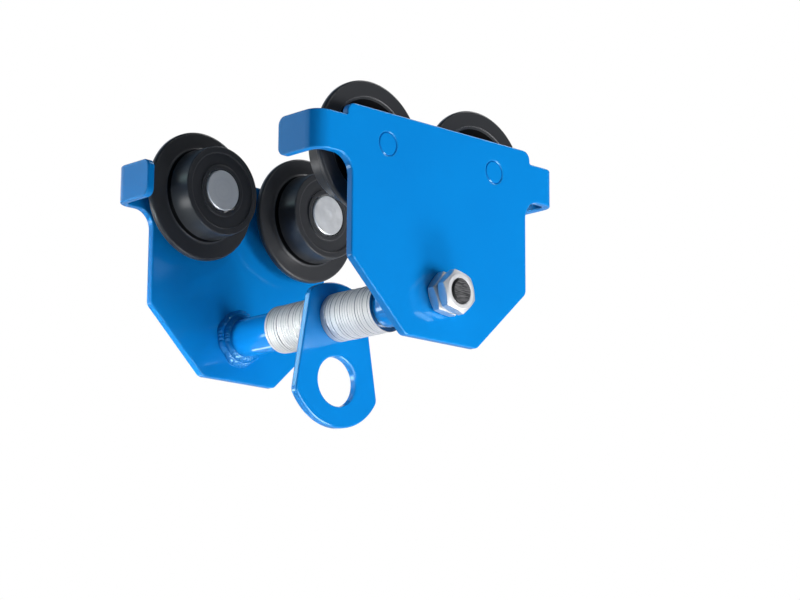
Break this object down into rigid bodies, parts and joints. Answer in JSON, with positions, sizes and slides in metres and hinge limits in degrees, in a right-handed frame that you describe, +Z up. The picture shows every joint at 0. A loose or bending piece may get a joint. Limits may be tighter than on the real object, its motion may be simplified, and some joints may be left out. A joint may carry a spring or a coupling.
{
  "type": "beam trolley",
  "caption": "Push-type beam trolley: bent-ear steel side plates with flanged wheels that run on a beam's lower flange, tied by a cross shaft with spacer washers and a swinging load lug.",
  "frame": {"origin": "on the surface that the wheels roll on, midway between all four wheels", "axes": "+X along the beam, +Y across the beam from the front plate to the rear plate, +Z up"},
  "size_m": [0.273, 0.304, 0.263],
  "materials": {
    "blue_paint": "glossy blue enamel",
    "black_wheel": "satin black paint",
    "zinc_plate": "bright zinc plate",
    "dark_steel": "dark oiled steel",
    "bright_steel": "bright turned steel",
    "bearing_steel": "ground bearing steel",
    "pressed_steel": "pressed sheet steel",
    "spring_steel": "phosphated spring steel"
  },
  "bodies": {
    "frame": {"cross_shaft": "dark_steel", "front_side_plate": "blue_paint", "front_boss": "blue_paint", "front_boss_weld": "blue_paint", "front_inner_nut": "zinc_plate", "front_lock_nut": "zinc_plate", "front_spacer_washers": "zinc_plate", "rear_side_plate": "blue_paint", "rear_boss": "blue_paint", "rear_boss_weld": "blue_paint", "rear_inner_nut": "zinc_plate", "rear_lock_nut": "zinc_plate", "rear_spacer_washers": "zinc_plate", "front_left_axle": "bright_steel", "front_left_axle_spacer": "bright_steel", "front_left_bearing_inner_ring": "bearing_steel", "front_right_axle": "bright_steel", "front_right_axle_spacer": "bright_steel", "front_right_bearing_inner_ring": "bearing_steel", "rear_left_axle": "bright_steel", "rear_left_axle_spacer": "bright_steel", "rear_left_bearing_inner_ring": "bearing_steel", "rear_right_axle": "bright_steel", "rear_right_axle_spacer": "bright_steel", "rear_right_bearing_inner_ring": "bearing_steel"},
    "front_left_wheel": {"front_left_wheel": "black_wheel", "front_left_bearing_outer_ring": "bearing_steel", "front_left_bearing_shields": "pressed_steel", "front_left_circlip": "spring_steel"},
    "front_left_balls": {"front_left_bearing_balls": "bearing_steel", "front_left_bearing_cage": "pressed_steel"},
    "front_right_wheel": {"front_right_wheel": "black_wheel", "front_right_bearing_outer_ring": "bearing_steel", "front_right_bearing_shields": "pressed_steel", "front_right_circlip": "spring_steel"},
    "front_right_balls": {"front_right_bearing_balls": "bearing_steel", "front_right_bearing_cage": "pressed_steel"},
    "rear_left_wheel": {"rear_left_wheel": "black_wheel", "rear_left_bearing_outer_ring": "bearing_steel", "rear_left_bearing_shields": "pressed_steel", "rear_left_circlip": "spring_steel"},
    "rear_left_balls": {"rear_left_bearing_balls": "bearing_steel", "rear_left_bearing_cage": "pressed_steel"},
    "rear_right_wheel": {"rear_right_wheel": "black_wheel", "rear_right_bearing_outer_ring": "bearing_steel", "rear_right_bearing_shields": "pressed_steel", "rear_right_circlip": "spring_steel"},
    "rear_right_balls": {"rear_right_bearing_balls": "bearing_steel", "rear_right_bearing_cage": "pressed_steel"},
    "lug": {"load_lug": "blue_paint"}
  },
  "joints": [
    {"name": "front_left_wheel_spin", "type": "hinge", "parent": "frame", "child": "front_left_wheel", "pos_m": [-0.0605, -0.0925, 0.04], "axis": [0, 1, 0], "continuous": true},
    {"name": "front_left_ball_roll", "type": "hinge", "parent": "frame", "child": "front_left_balls", "pos_m": [-0.0605, -0.0925, 0.04], "axis": [0, 1, 0], "continuous": true},
    {"name": "front_right_wheel_spin", "type": "hinge", "parent": "frame", "child": "front_right_wheel", "pos_m": [0.0605, -0.0925, 0.04], "axis": [0, 1, 0], "continuous": true},
    {"name": "front_right_ball_roll", "type": "hinge", "parent": "frame", "child": "front_right_balls", "pos_m": [0.0605, -0.0925, 0.04], "axis": [0, 1, 0], "continuous": true},
    {"name": "rear_left_wheel_spin", "type": "hinge", "parent": "frame", "child": "rear_left_wheel", "pos_m": [-0.0605, 0.0925, 0.04], "axis": [0, 1, 0], "continuous": true},
    {"name": "rear_left_ball_roll", "type": "hinge", "parent": "frame", "child": "rear_left_balls", "pos_m": [-0.0605, 0.0925, 0.04], "axis": [0, 1, 0], "continuous": true},
    {"name": "rear_right_wheel_spin", "type": "hinge", "parent": "frame", "child": "rear_right_wheel", "pos_m": [0.0605, 0.0925, 0.04], "axis": [0, 1, 0], "continuous": true},
    {"name": "rear_right_ball_roll", "type": "hinge", "parent": "frame", "child": "rear_right_balls", "pos_m": [0.0605, 0.0925, 0.04], "axis": [0, 1, 0], "continuous": true},
    {"name": "lug_swing", "type": "hinge", "parent": "frame", "child": "lug", "pos_m": [0, -0.0015, -0.074], "axis": [0, 1, 0], "range_deg": [-80, 80]}
  ],
  "couplings": [
    {"joint": "front_left_ball_roll", "follows": "front_left_wheel_spin", "ratio": 0.6179},
    {"joint": "front_right_ball_roll", "follows": "front_right_wheel_spin", "ratio": 0.6179},
    {"joint": "rear_left_ball_roll", "follows": "rear_left_wheel_spin", "ratio": 0.6179},
    {"joint": "rear_right_ball_roll", "follows": "rear_right_wheel_spin", "ratio": 0.6179}
  ]
}
